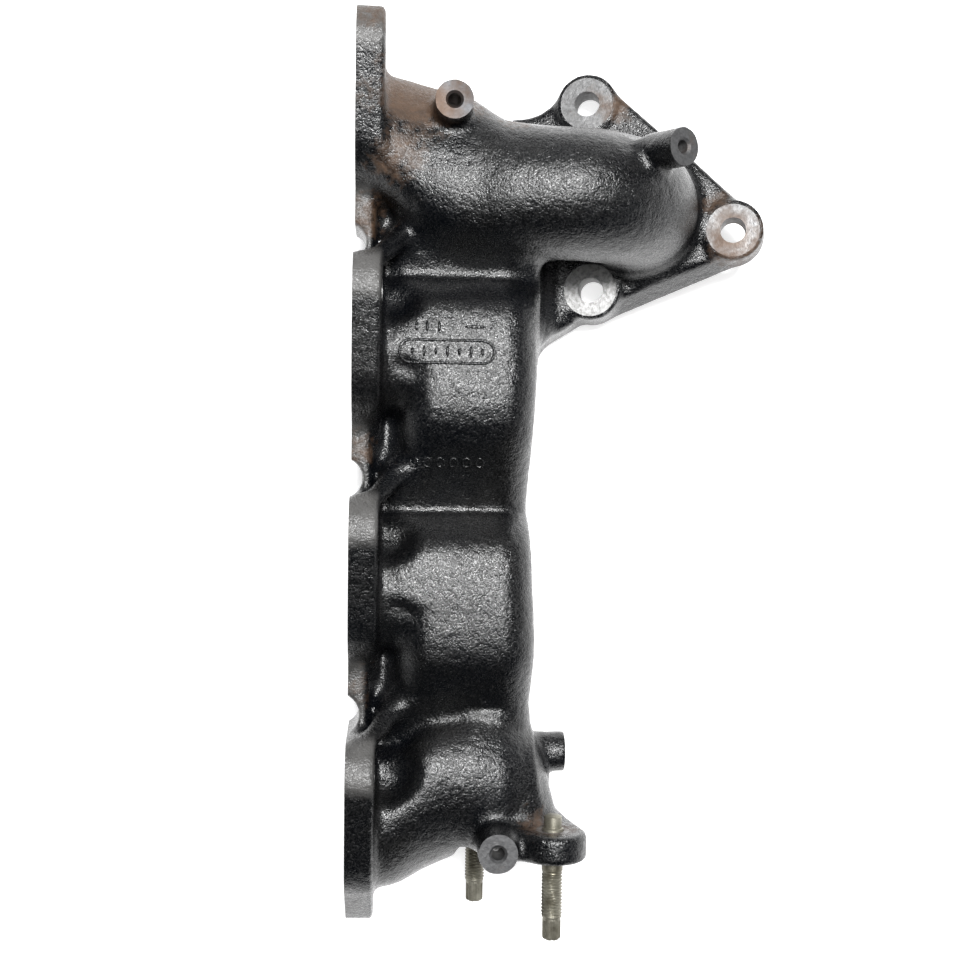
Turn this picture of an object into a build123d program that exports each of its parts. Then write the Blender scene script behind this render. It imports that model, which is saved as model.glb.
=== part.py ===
from build123d import *
import os
from math import atan2, cos, degrees, hypot, radians, sin, tan

# Exhaust manifold for a turbocharged in-line four: one hollow iron casting and
# the two studs of its side (EGR) flange.
# Frame: X points away from the cylinder head, Y runs along the engine, Z is up.
# The origin is on the head gasket plane, midway between ports 2 and 3.

os.makedirs("parts", exist_ok=True)

# ---------------------------------------------------------------- head side
PORT_PITCH = 91.0
PORT_Y = [PORT_PITCH * k for k in (1.5, 0.5, -0.5, -1.5)]
PORT_R = 17.0
PORT_RIM_R = 27.0
FLANGE_T = 11.0
BOLT_DY = 25.5
BOLT_DZ = 18.5
LOBE_R = 14.5
HEAD_HOLE_R = 4.5
TOE_R = 6.5
TOE_Y = BOLT_DY + LOBE_R - TOE_R
TOE_Z = -8.0
WEB_LOW_Z = -24.0
WEB_TOP_Z = 6.0
NOTCH_R = 7.6
NOTCH_X = -3.4
HEAD_BOLTS = [(y + side * BOLT_DY, side * BOLT_DZ) for y in PORT_Y for side in (1, -1)]

# ---------------------------------------------------------------- gas body
WALL = 5.0
RUNNER_R = PORT_R + WALL
BODY_Z = -5.0
LOG_NEAR_X = 9.0
LOG_FAR_X = 71.0
LOG_FLANK_R = 15.0
LOG_NEAR_R = 13.0
LOG_TOP_Y = 112.0
LOG_END_Y = -107.0
LOG_FLOOR_Z = -26.0
VALLEY_Z = 2.2
VALLEY_DY = -55.0
HUMP_TOP_Z = 21.0
LOG_BORE_X = 48.5
LOG_BORE_Z = -12.0
LOG_BORE_RX = 17.0
LOG_BORE_RZ = 9.5
LOG_BORE_TOP_Y = 112.0
LOG_BORE_END_Y = -118.0
NUT_SPACE_R = 9.5
NUT_SPACE_X = 13.0

# Top line of one hump along the log: offset from the port centre, height.
HUMP_LINE = [
    (32.0, 4.5),
    (28.5, 9.8),
    (25.0, 15.2),
    (21.0, 18.4),
    (12.0, 19.8),
    (0.0, 20.4),
    (-10.0, 20.5),
    (-18.0, 19.8),
    (-24.0, 17.8),
    (-31.0, 13.8),
    (-40.0, 8.6),
    (-49.0, 4.2),
]

# Stations of a runner: x, y from the port centre, z, half width, half height, lean.
RUNNER_1 = [
    (0.0, 0.0, 0.0, RUNNER_R, RUNNER_R, 0.0),
    (13.0, -5.0, -1.0, 25.0, RUNNER_R, 0.0),
    (28.0, -12.0, -3.0, 29.0, 23.0, 0.0),
    (44.0, -17.0, -4.0, 30.5, 24.0, 0.0),
    (60.0, -22.5, -2.0, 26.8, 25.5, 0.0),
    (83.0, -23.8, 0.0, 25.8, 25.8, 0.0),
]
RUNNER_1_BORE = [
    (0.0, 0.0, 0.0, PORT_R, PORT_R, 0.0),
    (18.0, -3.0, -2.0, PORT_R + 0.5, PORT_R, 0.0),
    (32.0, -12.0, -4.0, 22.0, 18.0, 0.0),
    (46.0, -18.0, -4.0, 24.0, 19.0, 0.0),
    (62.0, -22.8, -2.0, 21.5, 20.3, 0.0),
    (83.0, -23.8, 0.0, 20.8, 20.8, 0.0),
]
MIDDLE_RUNNER = [
    (0.0, 2.0, 0.0, 24.0, RUNNER_R, 0.0),
    (15.0, 3.0, -1.0, 24.5, RUNNER_R, 0.0),
    (40.0, 1.0, BODY_Z, 28.0, 25.0, 0.0),
]
MIDDLE_BORE = [
    (0.0, 0.0, 0.0, PORT_R, PORT_R, 0.0),
    (15.0, 0.0, -1.5, 19.0, PORT_R - 0.5, 0.0),
    (42.0, 2.0, BODY_Z, 22.0, 17.5, 0.0),
]
RUNNER_4 = [
    (0.0, 0.0, 0.0, RUNNER_R, RUNNER_R, 0.0),
    (15.0, 2.5, -1.0, 25.0, RUNNER_R, 0.0),
    (32.0, 12.5, -3.5, 28.0, 23.5, 0.0),
    (46.0, 17.0, BODY_Z, 27.0, 24.0, 0.0),
    (60.0, 20.5, BODY_Z, 22.0, 22.5, 0.0),
]
RUNNER_4_BORE = [
    (0.0, 0.0, 0.0, PORT_R, PORT_R, 0.0),
    (18.0, 2.0, -2.0, PORT_R + 0.5, PORT_R, 0.0),
    (32.0, 10.0, -4.0, 20.0, 18.0, 0.0),
    (46.0, 15.0, BODY_Z, 20.0, 18.5, 0.0),
]

# ---------------------------------------------------------------- turbo side
TILT = 14.0
BEND_R = 32.0
BEND_X = RUNNER_1[-1][0]
BEND_Y = PORT_Y[0] + RUNNER_1[-1][1]
ELBOW_R = RUNNER_1[-1][3]
ELBOW_BORE_R = ELBOW_R - WALL
BEND_TURN = 90.0 - TILT
BEND_END_X = BEND_X + BEND_R * sin(radians(BEND_TURN))
BEND_END_Z = -BEND_R * (1.0 - cos(radians(BEND_TURN)))
LEG = 22.7
TURBO_X = BEND_END_X + LEG * sin(radians(TILT))
TURBO_Z = BEND_END_Z - LEG * cos(radians(TILT))
TURBO_T = 12.5
TURBO_BOSS_T = 14.5
TURBO_LOBE_R = 13.2
TURBO_HOLE_R = 5.25
TURBO_HOLES = [(-21.4, 46.6), (40.0, -7.7), (-18.8, -32.0)]
TURBO_DRAFT = 20.0
ROOT_TOP_Y = 138.0
ROOT_END_Y = 44.0

# ---------------------------------------------------------------- EGR side
EGR_TOP_Y = -131.0
EGR_T = 10.5
EGR_X = 65.0
EGR_Z = -2.0
EGR_NECK_R = 17.5
EGR_BORE_R = 12.0
EGR_LOBE_R = 13.0
EGR_BOSS_CLEAR_Z = 25.5
STUD_AT = {"egr_stud_upper": (78.0, 21.5), "egr_stud_lower": (52.0, -25.5)}
STUD_R = 3.4
STUD_CLEAR_R = 5.5
STUD_RELIEF_R = 4.4
STUD_RELIEF = 0.8
STUD_TOP = 5.5
STUD_TOP_R = 3.4
STUD_FREE = 22.0
STUD_FREE_R = 4.0
STUD_TIP = 8.5
STUD_TIP_R = 3.5
FLUTE_R = 0.9
FLUTES = 6

# ---------------------------------------------------------------- bosses
SHIELD_R = 7.5
SHIELD_HOLE_R = 2.5
SHIELD_DEPTH = 14.0
SHIELD_BOSSES = [
    ((36.7, 141.0, 26.0), (0.0, 0.0, 1.0), 36.0),
    ((123.4, 126.6, 25.0), (0.53, -0.05, 0.85), 20.0),
    ((56.5, -136.8, 34.0), (0.0, 0.0, 1.0), 40.0),
]
SIDE_BOSS = ((86.3, -108.9, -15.0), (1.0, 0.0, 0.0), 24.0)
SIDE_BOSS_R = 8.1
SIDE_HOLE_R = 4.2
SIDE_DEPTH = 12.0

turbo_face = Plane(
    origin=(TURBO_X, BEND_Y, TURBO_Z),
    x_dir=(cos(radians(TILT)), 0, sin(radians(TILT))),
    z_dir=(-sin(radians(TILT)), 0, cos(radians(TILT))),
)


def oval_tube(stations, port_y):
    """Loft through oval stations along X."""
    with BuildPart() as body:
        for x, dy, z, half_y, half_z, lean in stations:
            centre = (x, port_y + dy, z)
            with BuildSketch(Plane(origin=centre, x_dir=(0, 1, 0), z_dir=(1, 0, 0))):
                Ellipse(half_y, half_z, rotation=lean)
        loft()
    return body.part


def elbow(radius):
    """The bend and the straight leg that end on the turbo face."""
    with BuildPart() as body:
        with BuildSketch(Plane(origin=(BEND_X, BEND_Y, 0), x_dir=(0, 1, 0), z_dir=(1, 0, 0))):
            Circle(radius)
        revolve(axis=Axis((BEND_X, BEND_Y, -BEND_R), (0, 1, 0)), revolution_arc=BEND_TURN)
        with BuildSketch(turbo_face):
            Circle(radius)
        extrude(amount=LEG)
    return body.part


def boss_plane(face_centre, axis):
    """The machined end face of a boss, looking back into the casting."""
    return Plane(origin=face_centre, z_dir=tuple(-a for a in axis))


# ---------------------------------------------------------------- outlines
with BuildSketch(Plane.YZ) as head_outline:
    with Locations((BOLT_DY, BOLT_DZ), (-BOLT_DY, -BOLT_DZ)):
        Circle(LOBE_R)
    with Locations((TOE_Y, TOE_Z)):
        Circle(TOE_R)
    Circle(PORT_RIM_R)
    make_hull()

with BuildSketch(Plane.XZ) as egr_outline:
    with Locations(*STUD_AT.values()):
        Circle(EGR_LOBE_R)
    with Locations((EGR_X, EGR_Z)):
        Circle(EGR_NECK_R + 3.0)
    make_hull()

with BuildSketch() as turbo_outline:
    with Locations(*TURBO_HOLES):
        Circle(TURBO_LOBE_R)
    Circle(ELBOW_R + 5.0)
    make_hull()

with BuildSketch() as turbo_root_outline:
    with BuildLine():
        Polyline((-55, 43), (-55, -60), (-43, -60))
        ThreePointArc((-43, -60), (-38, -52), (-23, -45))
        Polyline((-23, -45), (0, 0), (-30, 57))
        ThreePointArc((-30, 57), (-39, 46.5), (-55, 43))
    make_face()

# ---------------------------------------------------------------- solids of the gas body
runner_1_outer = oval_tube(RUNNER_1, PORT_Y[0])
runner_1_inner = oval_tube(RUNNER_1_BORE, PORT_Y[0])
runner_4_outer = oval_tube(RUNNER_4, PORT_Y[3])
runner_4_inner = oval_tube(RUNNER_4_BORE, PORT_Y[3])
elbow_outer = elbow(ELBOW_R)
elbow_inner = elbow(ELBOW_BORE_R)

# The log with its humps: the side view along Y, cut to the cross-section along X.
top_line = [(LOG_TOP_Y, 12.0), (LOG_TOP_Y - 14.0, 8.0), (LOG_TOP_Y - 24.0, 4.2), (LOG_TOP_Y - 30.5, VALLEY_Z)]
for port_y in PORT_Y[1:]:
    top_line += [(port_y + dy, z) for dy, z in HUMP_LINE]
    top_line.append((port_y + VALLEY_DY, VALLEY_Z))
top_line = [point for point in top_line if point[0] > LOG_END_Y] + [(LOG_END_Y, 15.0)]

with BuildPart() as log_body:
    with BuildSketch(Plane.YZ.offset(LOG_NEAR_X)):
        with BuildLine():
            top = Spline(*top_line)
            Polyline(top @ 1, (LOG_END_Y, LOG_FLOOR_Z), (LOG_TOP_Y, LOG_FLOOR_Z), top @ 0)
        make_face()
    extrude(amount=LOG_FAR_X - LOG_NEAR_X)
    with BuildSketch(Plane.XZ.offset(-LOG_TOP_Y)):
        with Locations(((LOG_NEAR_X + LOG_FAR_X) / 2, BODY_Z)):
            Rectangle(LOG_FAR_X - LOG_NEAR_X, 2 * (HUMP_TOP_Z - BODY_Z))
        fillet(vertices().group_by(Axis.X)[-1], LOG_FLANK_R)
        fillet(vertices().group_by(Axis.X)[0], LOG_NEAR_R)
    extrude(amount=LOG_TOP_Y - LOG_END_Y, mode=Mode.INTERSECT)

# The root of the turbo flange: a concave wedge along Y, cut to its plan outline.
with BuildPart() as turbo_root:
    with BuildSketch(Plane.XZ.offset(-ROOT_TOP_Y)):
        with BuildLine():
            Polyline((92, -41), (93, -51), (72, -53), (56, -24), (56, -5), (70, -5))
            ThreePointArc((70, -5), (75, -30), (92, -41))
        make_face()
    extrude(amount=ROOT_TOP_Y - ROOT_END_Y)
    with BuildSketch(Plane.XY.offset(-60)):
        with BuildLine():
            Polyline((98, 68), (98, ROOT_TOP_Y), (50, ROOT_TOP_Y), (50, 44), (71, 44))
            Spline((71, 44), (78, 55), (87, 63.5), (98, 68), tangents=((0, 1), (1, 0.4)))
        make_face()
    extrude(amount=80, mode=Mode.INTERSECT)

# ---------------------------------------------------------------- the casting
with BuildPart() as casting:
    # Webs that tie each flange to the next.
    for upper_y, lower_y in zip(PORT_Y, PORT_Y[1:]):
        gap_top = upper_y - BOLT_DY
        gap_bottom = lower_y + BOLT_DY
        with BuildSketch(Plane.XY.offset(WEB_LOW_Z)):
            with Locations((FLANGE_T / 2, (gap_top + gap_bottom) / 2)):
                Rectangle(FLANGE_T, gap_top - gap_bottom)
        extrude(amount=WEB_TOP_Z - WEB_LOW_Z)

    # Gas body, with room for a flange nut at each head bolt.
    add(runner_1_outer)
    add(runner_4_outer)
    for y in PORT_Y[1:3]:
        add(oval_tube(MIDDLE_RUNNER, y))
    add(log_body.part)
    add(elbow_outer)
    with BuildSketch(Plane.YZ.offset(FLANGE_T)):
        with Locations(*HEAD_BOLTS):
            Circle(NUT_SPACE_R)
    extrude(amount=NUT_SPACE_X - FLANGE_T, mode=Mode.SUBTRACT)
    with Locations(*[(NUT_SPACE_X, y, z) for y, z in HEAD_BOLTS]):
        Sphere(NUT_SPACE_R, mode=Mode.SUBTRACT)

    # Head flanges, one to each port, with two bolt lobes on a diagonal.
    with Locations(*[(0, y, 0) for y in PORT_Y]):
        add(extrude(head_outline.sketch, amount=FLANGE_T, mode=Mode.PRIVATE))

    # Turbo flange: a drafted plate, three raised bosses and the root that joins the log.
    with BuildSketch(turbo_face):
        add(turbo_outline.sketch)
        add(turbo_root_outline.sketch)
    extrude(amount=TURBO_T, taper=TURBO_DRAFT)
    with BuildSketch(turbo_face):
        with Locations(*TURBO_HOLES):
            Circle(TURBO_LOBE_R)
    extrude(amount=TURBO_BOSS_T)
    add(turbo_root.part)

    # EGR neck and flange.
    with BuildSketch(Plane.XZ.offset(100.0)):
        with Locations((56, BODY_Z)):
            Circle(EGR_NECK_R)
    with BuildSketch(Plane.XZ.offset(118.0)):
        with Locations((63, -3)):
            Circle(EGR_NECK_R)
    with BuildSketch(Plane.XZ.offset(-EGR_TOP_Y + 1.0)):
        with Locations((EGR_X, EGR_Z)):
            Circle(EGR_NECK_R)
    loft()
    with BuildSketch(Plane.XZ.offset(-EGR_TOP_Y)):
        add(egr_outline.sketch)
    extrude(amount=EGR_T)

    # Clear space round the top of each stud.
    with BuildSketch(Plane.XZ.offset(-(EGR_TOP_Y + STUD_TOP + 1.0))):
        with Locations(*STUD_AT.values()):
            Circle(STUD_CLEAR_R)
    extrude(amount=STUD_TOP + 1.0, mode=Mode.SUBTRACT)

    # Bosses for the heat shield and the side bracket.
    for face_centre, axis, length in SHIELD_BOSSES:
        with BuildSketch(boss_plane(face_centre, axis)):
            Circle(SHIELD_R)
        extrude(amount=length)
    with BuildSketch(boss_plane(SIDE_BOSS[0], SIDE_BOSS[1])):
        Circle(SIDE_BOSS_R)
    extrude(amount=SIDE_BOSS[2])

    # The boss beside the EGR flange stays clear of the mating flange's outline.
    with BuildSketch(Plane.XZ.offset(-EGR_TOP_Y + EGR_T)):
        with Locations((SHIELD_BOSSES[2][0][0], 0.0)):
            Rectangle(4 * SHIELD_R, 2 * EGR_BOSS_CLEAR_Z)
    extrude(amount=SHIELD_R, mode=Mode.SUBTRACT)

    # Scallops between the flanges on the gasket side.
    for upper_y, lower_y in zip(PORT_Y, PORT_Y[1:]):
        with BuildSketch(Plane.XY.offset(-60)):
            with Locations((NOTCH_X, (upper_y + lower_y) / 2)):
                Circle(NOTCH_R)
        extrude(amount=120, mode=Mode.SUBTRACT)

    # Gas passages.
    add(runner_1_inner, mode=Mode.SUBTRACT)
    add(oval_tube(MIDDLE_BORE, PORT_Y[1]), mode=Mode.SUBTRACT)
    add(oval_tube(MIDDLE_BORE, PORT_Y[2]), mode=Mode.SUBTRACT)
    add(runner_4_inner, mode=Mode.SUBTRACT)
    add(elbow_inner, mode=Mode.SUBTRACT)
    with BuildSketch(Plane.XZ.offset(-LOG_BORE_TOP_Y)):
        with Locations((LOG_BORE_X, LOG_BORE_Z)):
            Ellipse(LOG_BORE_RX, LOG_BORE_RZ)
    extrude(amount=LOG_BORE_TOP_Y - LOG_BORE_END_Y, mode=Mode.SUBTRACT)
    with BuildSketch(Plane.XZ.offset(100.0)):
        with Locations((54, BODY_Z)):
            Circle(EGR_BORE_R)
    with BuildSketch(Plane.XZ.offset(-EGR_TOP_Y)):
        with Locations((EGR_X, EGR_Z)):
            Circle(EGR_BORE_R)
    loft(mode=Mode.SUBTRACT)
    with BuildSketch(Plane.XZ.offset(-EGR_TOP_Y)):
        with Locations((EGR_X, EGR_Z)):
            Circle(EGR_BORE_R)
    extrude(amount=EGR_T + 1.0, mode=Mode.SUBTRACT)

    # Bolt holes of the head and turbo flanges.
    with BuildSketch(Plane.YZ.offset(-1)):
        with Locations(*HEAD_BOLTS):
            Circle(HEAD_HOLE_R)
    extrude(amount=FLANGE_T + 2, mode=Mode.SUBTRACT)
    with BuildSketch(turbo_face.offset(-1)):
        with Locations(*TURBO_HOLES):
            Circle(TURBO_HOLE_R)
    extrude(amount=TURBO_BOSS_T + 2, mode=Mode.SUBTRACT)

    # Tapped holes: EGR studs, heat shield and side boss.
    with BuildSketch(Plane.XZ.offset(-EGR_TOP_Y)):
        with Locations(*STUD_AT.values()):
            Circle(STUD_R)
    extrude(amount=EGR_T, mode=Mode.SUBTRACT)
    with BuildSketch(Plane.XZ.offset(-(EGR_TOP_Y - EGR_T + STUD_RELIEF))):
        with Locations(*STUD_AT.values()):
            Circle(STUD_RELIEF_R)
    extrude(amount=STUD_RELIEF, mode=Mode.SUBTRACT)
    for face_centre, axis, length in SHIELD_BOSSES:
        with BuildSketch(boss_plane(face_centre, axis)):
            Circle(SHIELD_HOLE_R)
        extrude(amount=SHIELD_DEPTH, mode=Mode.SUBTRACT)
    with BuildSketch(boss_plane(SIDE_BOSS[0], SIDE_BOSS[1])):
        Circle(SIDE_HOLE_R)
    extrude(amount=SIDE_DEPTH, mode=Mode.SUBTRACT)

casting.part.label = "manifold_casting"
export_step(casting.part, "parts/manifold_casting.step")
print("casting solids", len(casting.part.solids()), "volume", round(casting.part.volume))


# ---------------------------------------------------------------- the studs
def make_stud(x, z):
    """A double-ended stud along Y with a fluted driving tip at its free end."""
    under_y = EGR_TOP_Y - EGR_T
    tip_y = under_y - STUD_FREE
    with BuildPart() as stud:
        with BuildSketch(Plane.XZ.offset(-(EGR_TOP_Y + STUD_TOP))):
            with Locations((x, z)):
                Circle(STUD_TOP_R)
        extrude(amount=STUD_TOP)
        with BuildSketch(Plane.XZ.offset(-EGR_TOP_Y)):
            with Locations((x, z)):
                Circle(STUD_R)
        extrude(amount=EGR_T)
        with BuildSketch(Plane.XZ.offset(-under_y)):
            with Locations((x, z)):
                Circle(STUD_FREE_R)
        extrude(amount=STUD_FREE)
        with BuildSketch(Plane.XZ.offset(-tip_y)):
            with Locations((x, z)):
                Circle(STUD_TIP_R)
                with PolarLocations(STUD_TIP_R + FLUTE_R / 2, FLUTES):
                    Circle(FLUTE_R, mode=Mode.SUBTRACT)
        extrude(amount=STUD_TIP)
    return stud.part


for name, (x, z) in STUD_AT.items():
    stud_part = make_stud(x, z)
    stud_part.label = name
    export_step(stud_part, f"parts/{name}.step")
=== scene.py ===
from math import ceil, cos, pi, radians, sin

import bmesh
import bpy
import numpy as np
import openvdb as vdb
from mathutils import Matrix, Vector
from mathutils.bvhtree import BVHTree


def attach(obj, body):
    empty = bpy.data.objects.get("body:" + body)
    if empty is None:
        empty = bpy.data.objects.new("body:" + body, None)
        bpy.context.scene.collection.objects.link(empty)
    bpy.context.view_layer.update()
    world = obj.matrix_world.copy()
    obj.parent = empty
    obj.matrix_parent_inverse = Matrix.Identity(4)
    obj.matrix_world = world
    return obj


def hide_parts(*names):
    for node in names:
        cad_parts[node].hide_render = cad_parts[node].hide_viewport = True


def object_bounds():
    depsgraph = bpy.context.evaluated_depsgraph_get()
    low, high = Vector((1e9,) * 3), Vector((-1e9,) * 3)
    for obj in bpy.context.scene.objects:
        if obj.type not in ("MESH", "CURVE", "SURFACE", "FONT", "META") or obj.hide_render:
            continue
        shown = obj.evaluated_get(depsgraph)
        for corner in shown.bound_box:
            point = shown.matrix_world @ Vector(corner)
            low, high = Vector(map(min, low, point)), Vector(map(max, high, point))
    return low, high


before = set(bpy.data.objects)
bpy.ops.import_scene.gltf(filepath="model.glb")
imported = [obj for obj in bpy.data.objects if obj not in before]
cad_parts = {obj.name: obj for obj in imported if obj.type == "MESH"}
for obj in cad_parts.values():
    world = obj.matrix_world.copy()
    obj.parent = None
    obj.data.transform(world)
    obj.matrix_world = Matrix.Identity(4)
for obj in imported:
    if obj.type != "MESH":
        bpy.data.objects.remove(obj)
cad_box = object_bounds()

# The casting is blended from simple shapes as a grid of signed distances, meshed, roughened like a
# sand casting, and then cut where the real one is machined. Sizes are in millimetres until a mesh is
# made. X points out of the cylinder head, Y runs along it and Z points up.
MM = 0.001
STEP = 1.2
FIELD_LOW = (-7.0, -184.0, -68.0)
FIELD_HIGH = (179.0, 184.0, 42.0)
FAR_OUTSIDE = 30.0

# ------------------------------------------------------------ the object's main sizes
PORT_PITCH = 91.0
PORT_Y = [PORT_PITCH * k for k in (1.5, 0.5, -0.5, -1.5)]
FLANGE_T = 11.0
BOLT = (25.5, 18.5)
HEAD_HOLE_R = 4.5
HEAD_BOLTS = [(y + s * BOLT[0], s * BOLT[1]) for y in PORT_Y for s in (1, -1)]
TILT = radians(14.0)
BEND_R = 32.0
BEND_X = 83.0
BEND_SHIFT = 23.8
BEND_Y = PORT_Y[0] - BEND_SHIFT
ELBOW_R = 25.8
ELBOW_BORE_R = 20.8
BEND_TURN = pi / 2 - TILT
LEG = 22.7
TURBO_OUT = np.array([sin(TILT), 0.0, -cos(TILT)])
TURBO_ACROSS = np.array([cos(TILT), 0.0, sin(TILT)])
TURBO_AT = np.array([
    BEND_X + BEND_R * sin(BEND_TURN) + LEG * sin(TILT),
    BEND_Y,
    -BEND_R * (1 - cos(BEND_TURN)) - LEG * cos(TILT),
])
TURBO_T = 12.5
TURBO_BOSS_T = 14.5
TURBO_LOBE_R = 12.7
TURBO_HOLE_R = 5.25
TURBO_SEAT_R = 11.0
TURBO_HOLES = [(-21.4, 46.6), (40.0, -7.7), (-18.8, -32.0)]
EGR_Y = -131.0
EGR_T = 10.5
EGR_AT = (65.0, -2.0)
EGR_PORT_R = 12.0
STUD_R = 4.0
STUDS = {"egr_stud_upper": (78.0, 21.5), "egr_stud_lower": (52.0, -25.5)}
# Bosses: face centre, axis, length, radius, hole radius, hole depth.
BOSSES = [
    ((36.7, 141.0, 26.0), (0.0, 0.0, 1.0), 36.0, 7.5, 2.5, 14.0),
    ((123.4, 126.6, 25.0), (0.53, -0.05, 0.85), 20.0, 7.5, 2.5, 14.0),
    ((56.5, -136.8, 34.0), (0.0, 0.0, 1.0), 40.0, 7.5, 2.5, 14.0),
    ((86.3, -108.9, -15.0), (1.0, 0.0, 0.0), 24.0, 8.1, 4.2, 12.0),
]


# ------------------------------------------------------------ distance fields
def smooth_curve(knots_x, knots_y, x):
    """A monotone cubic through knots, flat beyond its ends."""
    kx, ky = np.asarray(knots_x, float), np.asarray(knots_y, float)
    if kx[0] > kx[-1]:
        kx, ky = kx[::-1], ky[::-1]
    h = np.diff(kx)
    slope = np.diff(ky) / h
    m = np.zeros_like(ky)
    same = slope[1:] * slope[:-1] > 0
    w1, w2 = 2 * h[1:] + h[:-1], h[1:] + 2 * h[:-1]
    with np.errstate(divide="ignore", invalid="ignore"):
        harmonic = (w1 + w2) / (w1 / slope[:-1] + w2 / slope[1:])
    m[1:-1] = np.where(same, harmonic, 0.0)
    m[0], m[-1] = slope[0] * 0.5, slope[-1] * 0.5
    x = np.clip(x, kx[0], kx[-1])
    i = np.clip(np.searchsorted(kx, x) - 1, 0, len(h) - 1)
    t = (x - kx[i]) / h[i]
    a = (1 + 2 * t) * (1 - t) ** 2 * ky[i] + t * (1 - t) ** 2 * h[i] * m[i]
    return a + t * t * (3 - 2 * t) * ky[i + 1] + t * t * (t - 1) * h[i] * m[i + 1]


def round_union(a, b, r):
    """Two distances joined, with a fillet where they meet."""
    if r <= 0:
        return np.minimum(a, b)
    return np.maximum(r, np.minimum(a, b)) - np.hypot(np.maximum(r - a, 0), np.maximum(r - b, 0))


def round_common(a, b, r):
    """What two distances share, with a rounded edge."""
    return -round_union(-a, -b, r)


class Clay:
    """A block of signed distances that shapes are joined to and cut from."""

    def __init__(self):
        self.low = np.array(FIELD_LOW)
        self.size = [int(ceil((h - l) / STEP)) + 1 for l, h in zip(FIELD_LOW, FIELD_HIGH)]
        self.d = np.full(self.size, FAR_OUTSIDE, np.float32)

    def at(self, low, high, margin):
        """The cells of a box, and their X, Y and Z."""
        cells, axes = [], []
        for k in range(3):
            first = max(int((low[k] - margin - self.low[k]) / STEP), 0)
            last = min(int(ceil((high[k] + margin - self.low[k]) / STEP)) + 1, self.size[k])
            cells.append(slice(first, last))
            shape = [1, 1, 1]
            shape[k] = last - first
            line = self.low[k] + STEP * np.arange(first, last)
            axes.append(line.reshape(shape).astype(np.float32))
        return tuple(cells), axes

    def join(self, shape, low, high, r):
        cells, (x, y, z) = self.at(low, high, r + 4)
        self.d[cells] = round_union(self.d[cells], shape(x, y, z), r)

    def cut(self, shape, low, high, r=0.0):
        cells, (x, y, z) = self.at(low, high, r + 4)
        self.d[cells] = round_common(self.d[cells], -shape(x, y, z), r)


def oval(u, v, a, b):
    """Distance from an oval of half axes a and b."""
    near = np.sqrt((u / a) ** 2 + (v / b) ** 2) + 1e-6
    steep = np.sqrt((u / a**2) ** 2 + (v / b**2) ** 2) + 1e-6
    return near * (near - 1) / steep


def x_tube(stations, port_y):
    """A tube along X through oval stations: x, y from the port, z, half width, half height, lean."""
    s = np.array([(*row, 0.0)[:6] for row in stations])

    def shape(x, y, z):
        dy, cz, a, b, lean = (smooth_curve(s[:, 0], s[:, k], x) for k in (1, 2, 3, 4, 5))
        d = oval(y - port_y - dy - lean * (z - cz), z - cz, a, b)
        return np.maximum(d, np.maximum(s[0, 0] - x, x - s[-1, 0]))

    return shape


def hull(circles, count=40):
    """The outline round a set of circles, as points in order."""
    pts = []
    for cx, cy, r in circles:
        pts += [(cx + r * cos(2 * pi * k / count), cy + r * sin(2 * pi * k / count)) for k in range(count)]
    pts = sorted(set((round(a, 4), round(b, 4)) for a, b in pts))

    def half(points):
        out = []
        for p in points:
            while len(out) > 1:
                (ax, ay), (bx, by) = out[-2:]
                if (bx - ax) * (p[1] - ay) - (by - ay) * (p[0] - ax) > 0:
                    break
                out.pop()
            out.append(p)
        return out[:-1]

    return half(pts) + half(pts[::-1])


def outline(points, u, v):
    """Signed distance from a closed outline, negative inside."""
    best, side = None, None
    for (x0, y0), (x1, y1) in zip(points, points[1:] + points[:1]):
        ex, ey = x1 - x0, y1 - y0
        wx, wy = u - x0, v - y0
        t = np.clip((wx * ex + wy * ey) / (ex * ex + ey * ey + 1e-9), 0, 1)
        d = (wx - ex * t) ** 2 + (wy - ey * t) ** 2
        best = d if best is None else np.minimum(best, d)
        if y0 != y1:
            cross = ((v >= y0) != (v >= y1)) & (u < x0 + (v - y0) / ey * ex)
            side = cross if side is None else side ^ cross
    return np.sqrt(best) * np.where(side, -1.0, 1.0)


def slab(flat, across, edge=0.0):
    """Joins a flat distance and a distance across it, with rounded edges."""
    a, b = flat + edge, across + edge
    return np.minimum(np.maximum(a, b), 0) + np.hypot(np.maximum(a, 0), np.maximum(b, 0)) - edge


def rod(face, axis, length, radius, edge=0.0):
    """A round bar that ends on a face, with its axis pointing out of the face."""
    face, axis = np.array(face, float), np.array(axis, float)
    axis = axis / np.linalg.norm(axis)

    def shape(x, y, z):
        px, py, pz = x - face[0], y - face[1], z - face[2]
        h = px * axis[0] + py * axis[1] + pz * axis[2]
        rho = np.sqrt(np.maximum(px**2 + py**2 + pz**2 - h**2, 0))
        return slab(rho - radius, np.maximum(h, -length - h), edge)

    return shape


# ------------------------------------------------------------ shapes of the casting
# Runner stations: x, y from the port, z, half width, half height and, outside, the lean.
RUNNER_1 = [
    (0, 0, 0, 22, 22, 0),
    (13, -5, -1, 25.5, 22, -0.2),
    (28, -12, -3, 29.5, 23, -0.32),
    (44, -17, -3, 30.5, 23.5, -0.25),
    (60, -22.5, -2, 26.8, 25.5, -0.08),
    (BEND_X, -BEND_SHIFT, 0, ELBOW_R, ELBOW_R, 0),
]
RUNNER_1_BORE = [
    (-9, 0, 0, 17, 17),
    (0, 0, 0, 17, 17),
    (18, -3, -2, 17.5, 17),
    (32, -12, -4, 22, 18),
    (46, -18, -4, 24, 19),
    (62, -22.8, -2, 21.5, 20.3),
    (BEND_X, -BEND_SHIFT, 0, ELBOW_BORE_R, ELBOW_BORE_R),
]
MIDDLE_RUNNER = [
    (0, 1, 0, 22, 21.5), (14, 1, -1, 21, 20.5), (28, 0, -4, 20, 20), (44, 0, -8, 18, 19),
    (60, 0, -10, 12, 12),
]
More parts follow.
